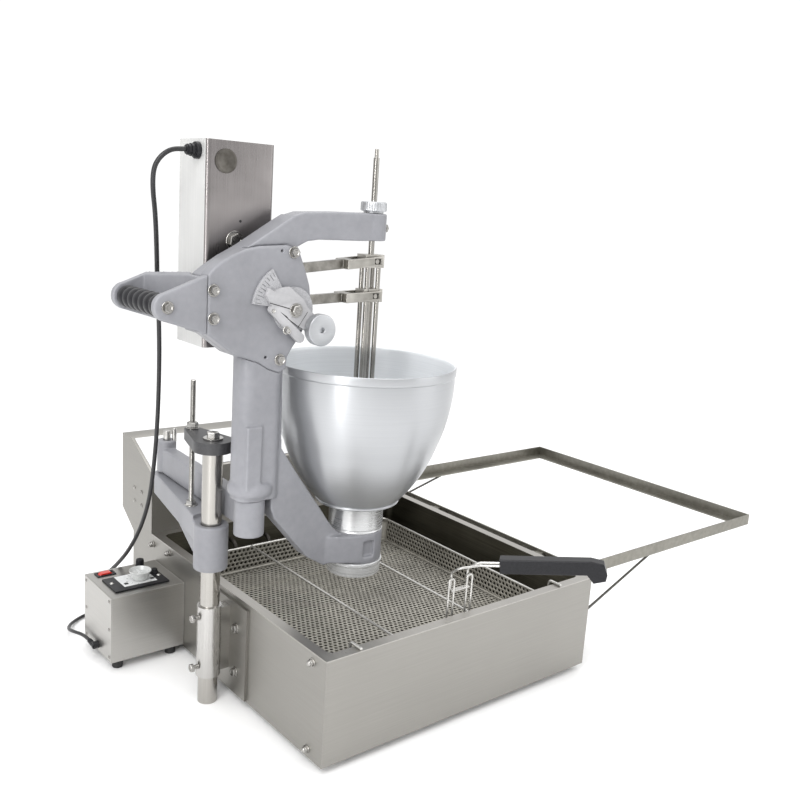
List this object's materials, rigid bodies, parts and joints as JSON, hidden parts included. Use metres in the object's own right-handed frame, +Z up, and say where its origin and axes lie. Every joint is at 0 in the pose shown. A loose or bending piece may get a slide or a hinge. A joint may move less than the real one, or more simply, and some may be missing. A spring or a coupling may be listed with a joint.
{
  "type": "donut_fryer",
  "caption": "Bench donut fryer: open oil tank with lift-out basket, fold-up drain frame, and a swing-arm batter depositor with hopper, dial lever and motor drive.",
  "frame": {"origin": "middle of the underside of the whole object without its cords, on the table", "axes": "+X runs from the depositor side to the drain frame, +Y from the front to the control head, +Z up"},
  "size_m": [1.465, 0.9916, 0.957],
  "materials": {
    "steel": "warm grey brushed stainless sheet",
    "pan_steel": "dark warm stainless, lightly oiled",
    "basket_steel": "perforated stainless sheet",
    "bright_steel": "bright turned steel",
    "heater_steel": "oxidised heater sheath",
    "casting": "light blue-grey enamel on a casting",
    "lever_alloy": "satin machined alloy",
    "bowl_alloy": "satin spun aluminium",
    "black_plastic": "black moulded plastic",
    "grey_knob": "grey moulded knob",
    "red_plastic": "red translucent plastic",
    "white_panel": "off-white enamel",
    "rubber_black": "black rubber",
    "cord_black": "black flexible cord sheath",
    "motor_paint": "dark motor paint",
    "board_green": "green circuit board"
  },
  "bodies": {
    "base": {"cabinet": "steel", "oil_tank": "pan_steel", "tank_feet": "rubber_black", "wall_fasteners": "bright_steel", "control_head": "steel", "head_panel": "white_panel", "panel_controls": "black_plastic", "pilot_lamps": "red_plastic", "heating_elements": "heater_steel", "post": "bright_steel", "post_bracket": "casting", "frame_hinges": "steel", "controller_case": "steel", "controller_sides": "steel", "controller_feet": "rubber_black", "controller_plate": "black_plastic", "controller_board": "board_green", "controller_glands": "black_plastic", "motor_cord": "cord_black", "mains_lead": "cord_black", "lead_coil": "cord_black", "mains_plug": "cord_black"},
    "thermostat": {"thermostat_knob": "black_plastic"},
    "heater_rocker": {"heater_switch": "black_plastic"},
    "speed_dial": {"speed_knob": "grey_knob"},
    "power_switch": {"power_rocker": "red_plastic"},
    "basket": {"fry_basket": "basket_steel", "basket_wires": "bright_steel"},
    "lifter": {"lifter_wire": "bright_steel", "lifter_grip": "black_plastic"},
    "rack": {"drain_frame": "steel", "frame_stays": "steel"},
    "cap": {"swing_cap": "black_plastic", "cap_fasteners": "bright_steel"},
    "arm_one": {"lower_arm": "casting", "lift_rod": "bright_steel", "elbow_pin": "bright_steel"},
    "arm_two": {"upper_arm": "casting"},
    "head": {"head_frame": "casting", "case_cover": "casting", "case_bolts": "bright_steel", "dial_plate": "casting", "handle_fork": "casting", "swing_grip": "black_plastic", "motor_box": "steel", "gear_motor": "motor_paint", "motor_gland": "black_plastic", "rocker_shafts": "bright_steel", "hopper": "bowl_alloy", "nozzle": "bowl_alloy"},
    "cam": {"cam_shaft": "bright_steel"},
    "lever": {"size_lever": "lever_alloy"},
    "lever_wheel": {"lever_knob": "lever_alloy"},
    "top_link": {"upper_link": "bright_steel"},
    "bottom_link": {"lower_link": "bright_steel"},
    "plunger": {"upper_yoke": "bright_steel", "plunger_rods": "bright_steel"},
    "cutter": {"lower_yoke": "bright_steel", "cutter_rod": "bright_steel"},
    "guide_nut": {"thumb_nut": "lever_alloy"}
  },
  "joints": [
    {"name": "arm_swing", "type": "hinge", "parent": "base", "child": "cap", "pos_m": [-0.5825, -0.00518, 0.4], "axis": [0, 0, 1], "range_deg": [-90, 20], "deforming": ["motor_cord"]},
    {"name": "arm_lift", "type": "slide", "parent": "cap", "child": "arm_one", "axis": [0, 0, 1], "range_m": [0, 0.05], "deforming": ["motor_cord"]},
    {"name": "elbow", "type": "hinge", "parent": "arm_one", "child": "arm_two", "pos_m": [-0.5345, 0.26882, 0.36], "axis": [0, 0, 1], "range_deg": [0, 30], "deforming": ["motor_cord"]},
    {"name": "head_swivel", "type": "hinge", "parent": "arm_two", "child": "head", "pos_m": [-0.5515, -0.07518, 0.388], "axis": [0, 0, 1], "range_deg": [-20, 25], "deforming": ["motor_cord"]},
    {"name": "size_lever", "type": "hinge", "parent": "head", "child": "lever", "pos_m": [-0.5015, -0.07518, 0.698], "axis": [0, 1, 0], "range_deg": [-30, 20]},
    {"name": "lever_knob", "type": "hinge", "parent": "lever", "child": "lever_wheel", "pos_m": [-0.4595, -0.11518, 0.667], "axis": [0, -1, 0], "range_deg": [-180, 180]},
    {"name": "upper_link", "type": "hinge", "parent": "head", "child": "top_link", "pos_m": [-0.6015, -0.07518, 0.7484], "axis": [0, -1, 0], "range_deg": [0, 4.2]},
    {"name": "lower_link", "type": "hinge", "parent": "head", "child": "bottom_link", "pos_m": [-0.6015, -0.07518, 0.7017], "axis": [0, -1, 0], "range_deg": [0, 4.2]},
    {"name": "plunger_stroke", "type": "slide", "parent": "head", "child": "plunger", "axis": [0, 0, 1], "range_m": [0, 0.0198]},
    {"name": "cutter_stroke", "type": "slide", "parent": "head", "child": "cutter", "axis": [0, 0, 1], "range_m": [0, 0.0198]},
    {"name": "cam_turn", "type": "hinge", "parent": "head", "child": "cam", "pos_m": [-0.5615, -0.05518, 0.728], "axis": [0, 1, 0], "continuous": true},
    {"name": "thumb_nut", "type": "hinge", "parent": "head", "child": "guide_nut", "pos_m": [-0.3315, -0.07518, 0.86], "axis": [0, 0, 1], "range_deg": [-180, 180]},
    {"name": "basket_lift", "type": "slide", "parent": "base", "child": "basket", "axis": [0, 0, 1], "range_m": [0, 0.05]},
    {"name": "lifter_tilt", "type": "hinge", "parent": "basket", "child": "lifter", "pos_m": [-0.2425, -0.26408, 0.232], "axis": [-1, 0, 0], "range_deg": [0, 40]},
    {"name": "frame_tilt", "type": "hinge", "parent": "base", "child": "rack", "pos_m": [0.0875, 0.00082, 0.184], "axis": [0, -1, 0], "range_deg": [0, 80]},
    {"name": "thermostat_turn", "type": "hinge", "parent": "base", "child": "thermostat", "pos_m": [-0.1125, 0.36114, 0.35107], "axis": [0, -0.4577, 0.8891], "range_deg": [-270, 0]},
    {"name": "heater_rocker", "type": "hinge", "parent": "base", "child": "heater_rocker", "pos_m": [-0.0325, 0.36846, 0.33684], "axis": [1, 0, 0], "range_deg": [-8, 8]},
    {"name": "speed_turn", "type": "hinge", "parent": "base", "child": "speed_dial", "pos_m": [-0.6085, 0.21982, 0.16], "axis": [0, 0, 1], "range_deg": [-270, 0]},
    {"name": "power_rocker", "type": "hinge", "parent": "base", "child": "power_switch", "pos_m": [-0.6525, 0.27882, 0.137], "axis": [0, 1, 0], "range_deg": [-8, 8]}
  ],
  "couplings": [
    {"joint": "plunger_stroke", "follows": "upper_link", "m_per_rad": 0.26882},
    {"joint": "cutter_stroke", "follows": "lower_link", "m_per_rad": 0.26923}
  ]
}
